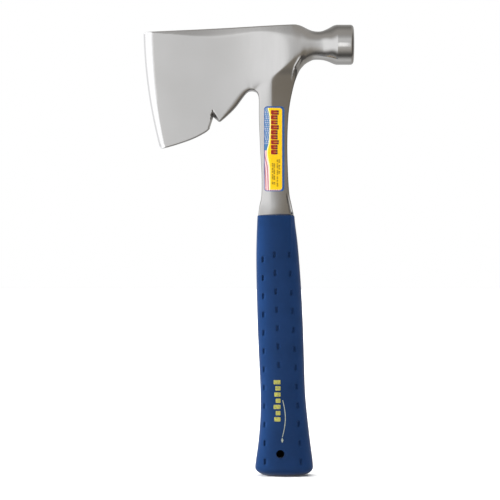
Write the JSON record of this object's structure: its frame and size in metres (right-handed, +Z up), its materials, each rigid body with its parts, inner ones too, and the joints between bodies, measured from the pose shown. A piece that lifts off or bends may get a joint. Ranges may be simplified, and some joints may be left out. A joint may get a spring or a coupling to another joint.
{
  "type": "half hatchet",
  "caption": "One-piece forged steel hatchet with a flared blade, nail-pulling notch, round hammer poll and moulded blue grip.",
  "frame": {"origin": "centre of the flat bottom of the grip's butt", "axes": "+Z up the handle, -X towards the cutting edge, +X towards the hammer poll, Y through the tool's thickness"},
  "size_m": [0.1575, 0.0304, 0.338],
  "materials": {
    "polished_steel": "ground and polished, clear lacquer",
    "grip_vinyl": "moulded, satin, fine grain",
    "label_foil": "printed foil, semi-gloss",
    "mark_print": "hot-pressed marking foil on the grip"
  },
  "bodies": {
    "root": {"forged_head_and_shank": "polished_steel", "grip_sleeve": "grip_vinyl", "shank_label": "label_foil"}
  },
  "joints": []
}
